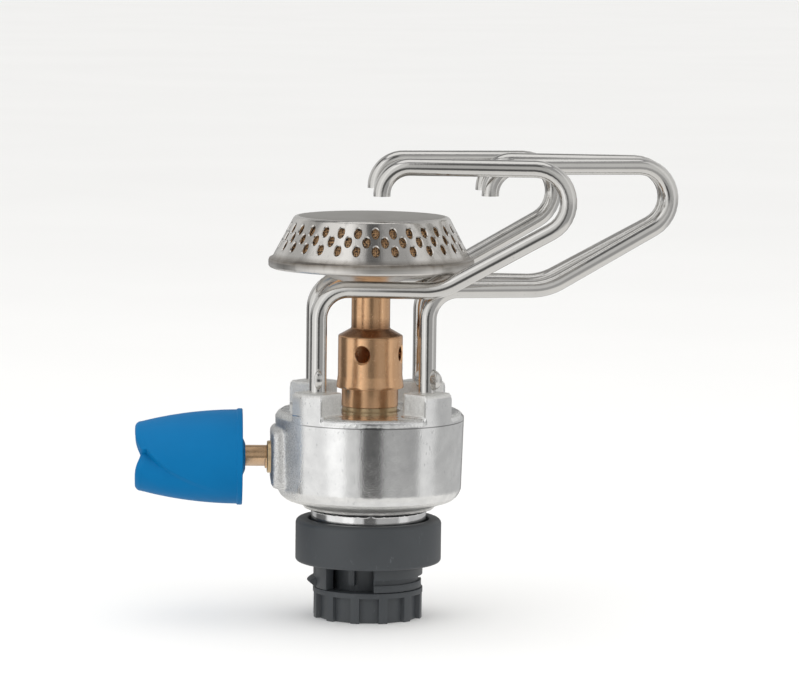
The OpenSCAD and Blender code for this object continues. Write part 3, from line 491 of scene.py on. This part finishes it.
for name, side_x, side_y, yaw, ear_turn in (
        ("front_left", -1, -1, -7.5, -90), ("back_left", -1, 1, 7.5, -90),
        ("front_right", 1, -1, 8.5, -50), ("back_right", 1, 1, -8.5, -90)):
    lean = (
        Matrix.Translation(Vector((side_x * STEM, side_y * STEM, 0)) * MM)
        @ Matrix.Rotation(math.radians(yaw), 4, "Z"))
    curve = bpy.data.curves.new(name, "CURVE")
    curve.dimensions = "3D"
    curve.bevel_depth = WIRE_R * MM
    curve.bevel_resolution = 7
    curve.use_fill_caps = True
    spline = curve.splines.new("POLY")
    spline.points.add(len(path) - 1)
    for point, (u, z) in zip(spline.points, path):
        point.co = (*(lean @ (Vector((u, 0, z)) * MM)), 1)
    wire = bpy.data.objects.new(f"support_wire_{name}", curve)
    scene.collection.objects.link(wire)
    only(wire)
    bpy.ops.object.convert(target="MESH")
    wire = bpy.context.object
    apply_modifier(
        wire, "BEVEL", width=0.35 * MM, segments=3, limit_method="ANGLE",
        angle_limit=math.radians(60))
    ears = []
    for turn, stand in EAR_STANDS:
        bpy.ops.object.select_all(action="DESELECT")
        bpy.ops.mesh.primitive_uv_sphere_add(segments=64, ring_count=40, radius=1)
        ear = bpy.context.object
        for vertex in ear.data.vertices:
            x, y, z = vertex.co
            half = math.copysign(min(1, 3 * abs(z)), z) * max(0, 1 - y * y) ** 0.7
            vertex.co = Vector((EAR_R * x, EAR_R * y, EAR_HALF * half)) * MM
        ear.data.transform(
            lean @ Matrix.Rotation(math.radians(turn + ear_turn - yaw), 4, "Z")
            @ Matrix.Translation(Vector((stand, 0, EAR_Z)) * MM)
            @ Matrix.Rotation(math.radians(90), 4, "X"))
        ears.append(ear)
    only(wire, *ears)
    bpy.ops.object.join()
    wire.data.materials.clear()
    fitted(wire, wire_steel, f"{name}_wire", "support_wire", f"support_{name}", angle=50)


# The jet with its holder, filter and washer: small turned brass pieces under the mixing tube, with
# a sintered bronze filter below the jet and a pressed fibre washer under the holder.
brass = Finish("turned brass", metallic=1.0)
tarnish = brass.grain(1.8, 4)
brass.feed("Base Color", brass.shade(tarnish, (0.50, 0.36, 0.20), (0.72, 0.55, 0.34)))
brass.feed("Roughness", 0.2 + tarnish * 0.2)
brass.relief(brass.grain(0.15, 1, (0.2, 1, 1)), 0.01)
dressed(brass, "jet_holder", "jet")
bronze = Finish("sintered bronze", metallic=1.0)
beads = bronze.grain(0.3, 1)
bronze.feed("Base Color", bronze.shade(beads, (0.30, 0.19, 0.09), (0.60, 0.42, 0.22)))
bronze.feed("Roughness", 0.5 + beads * 0.3)
bronze.relief(beads, 0.1)
dressed(bronze, "jet_filter", "inlet_filter")
fibre = Finish("pressed fibre", roughness=0.8)
fibre.feed("Base Color", fibre.shade(fibre.grain(0.4, 3), (0.20, 0.05, 0.03), (0.34, 0.11, 0.07)))
fibre.relief(fibre.grain(0.2, 2), 0.05)
dressed(fibre, "jet_washer")


# The mixing tube: drawn brass with a lip at its foot, four drilled air holes and a narrower riser.
# The heat of use has browned its shoulder.
TUBE_LOW, LIP_LOW, LIP_TOP, LIP_FADE, LIP_R = 49.9, 54.3, 54.85, 57.2, 7.9
FOOT_R, TUBE_R, RISER_R, TOP_LIP_R = 6.65, 7.6, 4.55, 5.05
SHOULDER_LOW, SHOULDER_TOP, PAN_Z, TUBE_TOP = 66.6, 68.3, 79.6, 80.3
FOOT_BORE_R, TUBE_BORE_R, RISER_BORE_R = 4.85, 6.7, 3.65
FOOT_BORE_TOP, TUBE_BORE_LOW, TUBE_BORE_TOP, RISER_BORE_LOW = 54.8, 55.7, 66.15, 67.75
AIR_HOLES, AIR_HOLE_R, AIR_HOLE_Z, AIR_HOLE_TURN = 4, 1.8, 62.5, -18
SINK_R, SINK_FROM, SINK_TO, DRILL_FROM, DRILL_TO = 2.3, 7.1, 7.6, 3, 9

tube = spun("mixing_tube", rounded([
    (FOOT_BORE_R, TUBE_LOW, 0), (FOOT_R, TUBE_LOW, 0.25), (FOOT_R, LIP_LOW, 0.15),
    (LIP_R, LIP_LOW, 0.2), (LIP_R, LIP_TOP, 0.15), (TUBE_R, LIP_FADE, 1.2),
    (TUBE_R, SHOULDER_LOW, 0.5), (RISER_R, SHOULDER_TOP, 0.6), (RISER_R, PAN_Z, 0.1),
    (TOP_LIP_R, PAN_Z, 0.15), (TOP_LIP_R, TUBE_TOP, 0.3), (RISER_BORE_R, TUBE_TOP, 0.2),
    (RISER_BORE_R, RISER_BORE_LOW, 0.4), (TUBE_BORE_R, TUBE_BORE_TOP, 0.4),
    (TUBE_BORE_R, TUBE_BORE_LOW, 0.4), (FOOT_BORE_R, FOOT_BORE_TOP, 0.3)]), 192)
for k in range(AIR_HOLES):
    drill = spun("air_hole", [
        (0, DRILL_FROM), (AIR_HOLE_R, DRILL_FROM), (AIR_HOLE_R, SINK_FROM),
        (SINK_R, SINK_TO), (SINK_R, DRILL_TO), (0, DRILL_TO)], 64, closed=False)
    drill.data.transform(
        Matrix.Rotation(math.radians(90 * k + AIR_HOLE_TURN), 4, "Z")
        @ Matrix.Translation(Vector((0, 0, AIR_HOLE_Z)) * MM)
        @ Matrix.Rotation(math.radians(90), 4, "Y"))
    combine(tube, drill, "DIFFERENCE")
red_brass = Finish("drawn red brass", metallic=1.0)
level = red_brass.place(2)
streaks = red_brass.grain(0.9, 3, (1, 1, 0.06))
stains = red_brass.grain(2.6, 4)
on_shoulder = level.between(66.0, 66.9) * (1 - level.between(68.4, 71.0))
# The shoulder is browned by heat; below the lip the tube's foot is also made a little darker.
shoulder_heat_and_darker_foot = on_shoulder * 0.75 + (1 - level.between(53.9, 54.6)) * 0.15
warm = red_brass.shade(streaks, (0.74, 0.43, 0.23), (0.90, 0.57, 0.33))
warm = red_brass.shade(stains.between(0.56, 0.74) * 0.35, warm, (0.50, 0.25, 0.12))
red_brass.feed("Base Color", red_brass.shade(shoulder_heat_and_darker_foot, warm, (0.17, 0.07, 0.03)))
specks = red_brass.grain(0.3, 2).between(0.66, 0.72) * stains.between(0.45, 0.6)
red_brass.feed("Roughness", 0.15 + streaks * 0.08 + stains * 0.08 + specks * 0.2)
turning = red_brass.grain(0.12, 1, (0.3, 0.3, 4))
red_brass.relief(stains + streaks * 0.3 + specks * 0.5 + turning * 0.5, 0.014)
fitted(tube, red_brass, "stove", "tube_brass", "burner_tube", angle=40)


# The burner head: a dished pan below and a pressed cap above, whose rim is rolled over the pan's
# edge. The cap's wall is punched with three rows of oval flame holes.
CAP_TOP_R, CAP_TOP, CAP_FLAT_R, CAP_SHEET = 18.1, 94.65, 9, 0.5
WALL_FOOT_R, WALL_FOOT_Z, WALL_INNER_R, WALL_INNER_Z = 23.25, 84.98, 22.8, 84.9
RIM_TOP_R, RIM_TOP, RIM_R, RIM_SIDE, RIM_LOW = 23.95, 84.8, 24.15, 84.2, 82.5
CURL_R, CURL_INNER_R, CURL_INNER_Z = 22.55, 23.2, 84.0
PAN_R, PAN_LOW, PAN_RIM_Z, PAN_SHEET = 23.15, 79.1, 83.0, 0.5
PAN_FLAT_R, PAN_DISH_R, PAN_DISH_Z, PAN_BEND_R = 5.75, 12.5, 81.2, 20.55
WALL_LEAN = math.atan2(5.2, 9.75)
HOLE_ROWS, HOLES_IN_ROW = (92.1, 90.1, 88.1), 30
HOLE_HALF_LONG, HOLE_HALF_WIDE = 1.27, 0.825

pan_below = [
    (RISER_R, PAN_LOW, 0), (PAN_FLAT_R, PAN_LOW, 1.5),
    (PAN_DISH_R, PAN_DISH_Z, 9), (PAN_BEND_R, PAN_RIM_Z, 2)]
pan_above = [
    (PAN_BEND_R, PAN_RIM_Z + PAN_SHEET, 1.5), (PAN_DISH_R, PAN_DISH_Z + PAN_SHEET, 9),
    (PAN_FLAT_R, PAN_Z, 1.5), (RISER_R, PAN_Z, 0)]
pan_edge = [(PAN_R, PAN_RIM_Z, 0.1), (PAN_R, PAN_RIM_Z + PAN_SHEET, 0.1)]
pan = spun("burner_pan_pressing", rounded(pan_below + pan_edge + pan_above, 8), 192)
cap_under = CAP_TOP - CAP_SHEET
cap = spun("burner_cap_pressing", [(0, CAP_TOP)] + [tuple(p) for p in rounded([
    (CAP_FLAT_R, CAP_TOP, 0), (CAP_TOP_R, CAP_TOP, 1.1), (WALL_FOOT_R, WALL_FOOT_Z, 0.5),
    (RIM_TOP_R, RIM_TOP, 0.45), (RIM_R, RIM_SIDE, 0.6), (RIM_R, RIM_LOW, 0.75),
    (CURL_R, RIM_LOW, 0.2), (CURL_R, PAN_RIM_Z, 0), (CURL_INNER_R, PAN_RIM_Z, 0),
    (CURL_INNER_R, CURL_INNER_Z, 0.2), (WALL_INNER_R, WALL_INNER_Z, 0.3),
    (CAP_TOP_R - CAP_SHEET, cap_under, 0.8), (CAP_FLAT_R, cap_under, 0)], 6)]
    + [(0, cap_under)], 240, closed=False)
# The punch has a shank of radius 1 and a flared shoulder, and is then stretched to the hole's size.
punch = spun("punch", [
    (0, -1.1), (1, -1.1), (1, -0.24), (1.23, 0.02), (1.23, 0.8), (0, 0.8)], 32, closed=False)
punch.data.transform(Matrix.Diagonal((HOLE_HALF_LONG, HOLE_HALF_WIDE, 1, 1)))
punches = []
for row, level in enumerate(HOLE_ROWS):
    wall_r = CAP_TOP_R + (CAP_TOP - level) * math.tan(WALL_LEAN)
    for k in range(HOLES_IN_ROW):
        copy = bpy.data.objects.new("punch", punch.data.copy())
        scene.collection.objects.link(copy)
        copy.data.transform(
            Matrix.Rotation(math.radians((2 * k + row + 1) * 180 / HOLES_IN_ROW), 4, "Z")
            @ Matrix.Translation(Vector((wall_r, 0, level)) * MM)
            @ Matrix.Rotation(math.pi / 2 - WALL_LEAN, 4, "Y"))
        punches.append(copy)
bpy.data.objects.remove(punch)
only(*punches)
bpy.ops.object.join()
combine(cap, punches[0], "DIFFERENCE")
sheet = Finish("pressed stainless sheet", metallic=1.0)
level = sheet.place(2)
radius = (sheet.place(0) ** 2 + sheet.place(1) ** 2) ** 0.5
clouds = sheet.grain(7, 4)
smears = sheet.grain(1.6, 3, (1, 1, 0.3))
flat_top = level.between(94.2, 94.5) * (1 - radius.between(17.0, 17.6))
foot = (1 - level.between(84.9, 86.2)) * level.between(83.4, 84.6)
steel = sheet.shade(clouds, (0.60, 0.58, 0.55), (0.74, 0.72, 0.69))
steel = sheet.shade(smears.between(0.55, 0.75) * 0.4, steel, (0.36, 0.345, 0.33))
steel = sheet.shade(flat_top * 0.8, steel, (0.25, 0.235, 0.21))
sheet.feed("Base Color", sheet.shade(foot * (0.5 + smears * 0.5), steel, (0.16, 0.13, 0.10)))
dull_rim = (1 - level.between(84.6, 86.0)) * 0.18
sheet.feed("Roughness", 0.11 + clouds * 0.12 + flat_top * 0.2 + dull_rim)
sheet.relief(clouds + sheet.grain(0.3, 2) * 0.05, 0.05)
fitted(cap, sheet, "stove", "sheet_steel", "burner_cap", angle=32)
fitted(pan, sheet, "stove", "sheet_steel", "burner_pan", angle=40)


# The gauze behind the flame holes: a strip of woven copper wire, bent round inside the cap and
# browned by heat. Its strands go over and under each other round the ring and up it.
STRANDS_AROUND, STRANDS_UPWARD = 150, 8.4
gauze = Finish("browned copper gauze", metallic=0.15)
around = gauze.math("ARCTAN2", gauze.place(1), gauze.place(0)) * STRANDS_AROUND
upward = gauze.place(2) * STRANDS_UPWARD


def strand(value):
    """How far out a strand stands across its width."""
    return gauze.math("ABSOLUTE", gauze.math("COSINE", value))


over = gauze.math("SINE", around) * gauze.math("SINE", upward)
warp = strand(around) * (0.75 + over * 0.25)
weft = strand(upward) * (0.75 - over * 0.25)
strands = gauze.math("MAXIMUM", warp, weft)
copper = gauze.shade(gauze.grain(1.2, 2), (0.62, 0.30, 0.11), (0.95, 0.60, 0.30))
# Painted shade: the gaps between the strands, and random patches, are near-black where the dark
# inside of the burner would show through; only the lit strands get the copper colour.
lit = strands.between(0.45, 0.95) * gauze.grain(0.45, 2).between(0.38, 0.5)
gauze.feed("Base Color", gauze.shade(lit, (0.015, 0.009, 0.006), copper))
gauze.feed("Roughness", 0.6 - strands * 0.25)
gauze.relief(strands, 0.15)
dressed(gauze, "burner_gauze")


# The valve's spindle runs out through a brass nut in the pad. Behind the nut lie its washer and
# O-ring, and a leaf spring holds the knob on the spindle's flat.
def softened(name, node, width, segments=2):
    """A copy of a CAD node with its sharp edges broken, by a width in millimetres."""
    copy = bpy.data.objects.new(name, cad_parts[node].data.copy())
    scene.collection.objects.link(copy)
    only(copy)
    bpy.ops.mesh.customdata_custom_splitnormals_clear()
    bpy.ops.object.mode_set(mode="EDIT")
    bpy.ops.mesh.select_all(action="SELECT")
    bpy.ops.mesh.remove_doubles(threshold=0.000002)
    bpy.ops.mesh.dissolve_limited(angle_limit=math.radians(0.5))
    bpy.ops.object.mode_set(mode="OBJECT")
    apply_modifier(
        copy, "BEVEL", width=width * MM, segments=segments, limit_method="ANGLE",
        angle_limit=math.radians(38))
    return copy


fitted(softened("gland_nut_turned", "gland_nut", 0.25, 3), brass, "stove", "brass", "gland_nut")
spindle_brass = Finish("turned spindle brass", metallic=1.0)
rings = spindle_brass.grain(0.12, 2, (6, 0.3, 0.3))
spindle_brass.feed("Base Color", spindle_brass.shade(
    spindle_brass.grain(1.4, 3), (0.58, 0.37, 0.21), (0.76, 0.53, 0.33)))
spindle_brass.feed("Roughness", 0.2 + rings * 0.16)
spindle_brass.relief(rings, 0.012)
fitted(
    softened("spindle_turned", "valve_spindle", 0.15),
    spindle_brass, "knob", "brass", "valve_spindle")
rubber = Finish("moulded rubber", roughness=0.7)
rubber.feed("Base Color", rubber.shade(
    rubber.grain(0.8, 3), (0.012, 0.012, 0.012), (0.03, 0.03, 0.03)))
rubber.relief(rubber.grain(0.2, 2), 0.02)
dressed(rubber, "spindle_o_ring", "inlet_seal")
ivory = Finish("white seal plastic", roughness=0.45)
ivory.feed("Base Color", ivory.shade(ivory.grain(1.5, 3), (0.70, 0.68, 0.60), (0.80, 0.78, 0.71)))
ivory.relief(ivory.grain(0.3, 2), 0.01)
dressed(ivory, "gland_washer")
spring = Finish("spring steel", metallic=1.0)
spring.feed("Base Color", spring.shade(
    spring.grain(1.2, 3), (0.20, 0.20, 0.21), (0.38, 0.38, 0.39)))
spring.feed("Roughness", 0.28 + spring.grain(0.6, 3) * 0.2)
spring.relief(spring.grain(0.2, 2), 0.01)
dressed(spring, "knob_clip", "support_snap_rings", "ring_circlip", "connector_screws")


# The control knob: hollow blue plastic with a hub for the spindle. Two finger grooves wind along
# it, each with a sharp edge on one side and a slow fall on the other, down to a dished end.
KNOB_LEN, KNOB_R, KNOB_END_R = 25.2, 11.1, 7.8
KNOB_EDGE, KNOB_DISH, KNOB_POWER, KNOB_X = 1.5, 1.4, 2.1, 29.9
BEAD_R, BEAD_SIDE, BEAD_FADE, SIDE_FROM = 11.35, 1.1, 1.4, 1.5
HUB_R, HUB_BORE_R, HUB_LIP_R, HUB_LIP, BORE_DEEP = 4.7, 2.8, 3.1, -0.7, 13.9
HOLLOW_MOUTH_R, HOLLOW_ROOT_R, HOLLOW_DEEP = 9.5, 6, 13
GROOVES, GROOVE_DEPTH, GROOVE_FROM = 2, 2.0, 0.12
GROOVE_REST, GROOVE_STEEP = 0.76, 0.96
EDGE_TURN, EDGE_SWEEP, EDGE_CURL = 224, 36, 40
NOTCH_DEPTH, NOTCH_WIDTH, NOTCH_SHIFT = 2.2, 0.13, 0.53


def plain_radius(s):
    """The knob's radius without grooves, at a distance from its open end."""
    return KNOB_R - (KNOB_R - KNOB_END_R) * (
        min(s, KNOB_LEN - KNOB_EDGE) / KNOB_LEN) ** KNOB_POWER


def past_edge(t, angle):
    """How far an angle is past a groove's sharp edge, as a share of the way to the next edge."""
    edge_at = EDGE_TURN + EDGE_SWEEP * t + EDGE_CURL * t ** 4
    return (angle - edge_at) * GROOVES / 360 % 1


def groove_share(past):
    """How deep a groove is, as a share: steep just before its edge, slow on the way to it."""
    if past > GROOVE_STEEP:
        return ((1 - past) / (1 - GROOVE_STEEP)) ** 0.8
    return (max(0, past - GROOVE_REST) / (GROOVE_STEEP - GROOVE_REST)) ** 1.7


SIDE_RINGS = 64
side_len = KNOB_LEN - KNOB_EDGE - SIDE_FROM
side = [(plain_radius(s), s) for s in (
    SIDE_FROM + side_len * k / SIDE_RINGS for k in range(SIDE_RINGS + 1))]
end_r = plain_radius(KNOB_LEN) - KNOB_EDGE
edge = [(end_r + KNOB_EDGE * math.cos(a), KNOB_LEN - KNOB_EDGE + KNOB_EDGE * math.sin(a))
        for a in (math.pi / 2 * k / 8 for k in range(1, 9))]
dish = [(end_r * k / 12, KNOB_LEN - KNOB_DISH * (1 - (k / 12) ** 2)) for k in range(11, -1, -1)]
hollow = [tuple(p) for p in rounded([
    (0, BORE_DEEP, 0), (HUB_BORE_R, BORE_DEEP, 0), (HUB_BORE_R, HUB_LIP, 0.1),
    (HUB_LIP_R, HUB_LIP, 0.12), (HUB_R, 0, 0.3), (HUB_R, HOLLOW_DEEP, 0.5),
    (HOLLOW_ROOT_R, HOLLOW_DEEP, 0.5), (HOLLOW_MOUTH_R, 0, 0.25), (BEAD_R, 0, 0.25),
    (BEAD_R, BEAD_SIDE, 0.12), (KNOB_R, BEAD_FADE, 0)], 4)]
knob = spun("control_knob_moulding", hollow + side + edge + dish, 300, closed=False)
for vertex in knob.data.vertices:
    x, y, s = vertex.co / MM
    r = math.hypot(x, y)
    hollow_r = HOLLOW_MOUTH_R - (HOLLOW_MOUTH_R - HOLLOW_ROOT_R) * s / HOLLOW_DEEP
    if r < 0.01 or (s < BORE_DEEP + 0.05 and r < hollow_r + 0.5):
        continue
    t = min(s, KNOB_LEN - KNOB_EDGE) / KNOB_LEN
    past = past_edge(t, math.degrees(math.atan2(y, x)))
    growth = max(0, (t - GROOVE_FROM) / (1 - GROOVE_FROM)) ** 2
    scale = 1 - GROOVE_DEPTH * growth * groove_share(past) / plain_radius(s)
    off_edge = (past + NOTCH_SHIFT) % 1 - 0.5
    notch = NOTCH_DEPTH * t ** 8 * math.exp(-(off_edge / NOTCH_WIDTH) ** 2)
    vertex.co = Vector((x * scale, y * scale, s - notch)) * MM
knob.data.transform(
    Matrix.Translation(Vector((-KNOB_X, 0, SPINDLE_Z)) * MM)
    @ Matrix.Rotation(math.radians(-90), 4, "Y"))
blue = Finish("blue knob plastic")
clouds = blue.grain(9, 3)
blue.feed("Base Color", blue.shade(clouds, (0.0, 0.132, 0.335), (0.0, 0.157, 0.39)))
blue.feed("Roughness", 0.44 + blue.grain(2.2, 3) * 0.1)
blue.feed("Specular IOR Level", 0.09)
blue.relief(blue.grain(0.25, 2), 0.012)
fitted(knob, blue, "knob", "knob_plastic", "control_knob", angle=30)


# The connector: a dark grey moulded collar round a plug with claws, fixed by three screws, and
# the ribbed ring at its foot, which turns and locks on the cartridge.
COLLAR_R, COLLAR_LOW, COLLAR_TOP, COLLAR_SHEET = 17.2, 13.1, 23.35, 1.3
COLLAR_FOOT_R, COLLAR_BORE_R = 13.7, 14.27
grey = Finish("dark grey moulding")
clouds = grey.grain(8, 3)
scuffs = grey.grain(0.7, 3, (1, 1, 0.4)).between(0.64, 0.72) * grey.grain(5, 2).between(0.5, 0.65)
plain = grey.shade(clouds, (0.038, 0.043, 0.048), (0.048, 0.054, 0.060))
grey.feed("Base Color", grey.shade(scuffs * 0.4, plain, (0.12, 0.13, 0.14)))
grey.feed("Roughness", 0.42 + clouds * 0.12)
grey.relief(grey.grain(0.3, 2), 0.02)
collar = spun("connector_collar_moulding", rounded([
    (COLLAR_FOOT_R, COLLAR_LOW, 0.1), (COLLAR_R, COLLAR_LOW, 0.8), (COLLAR_R, COLLAR_TOP, 1.2),
    (COLLAR_BORE_R, COLLAR_TOP, 0.3), (COLLAR_BORE_R, COLLAR_LOW + COLLAR_SHEET, 0),
    (COLLAR_FOOT_R, COLLAR_LOW + COLLAR_SHEET, 0.1)], 6), 192)
fitted(collar, grey, "stove", "connector_plastic", "connector_collar")
plug = softened("connector_plug_moulding", "connector_plug", 0.14)
fitted(plug, grey, "stove", "connector_plastic", "connector_plug")
ring = softened("locking_ring_moulding", "locking_ring", 0.3, 3)
fitted(ring, grey, "lock", "connector_plastic", "locking_ring")
dressed(brass, "inlet_nipple")
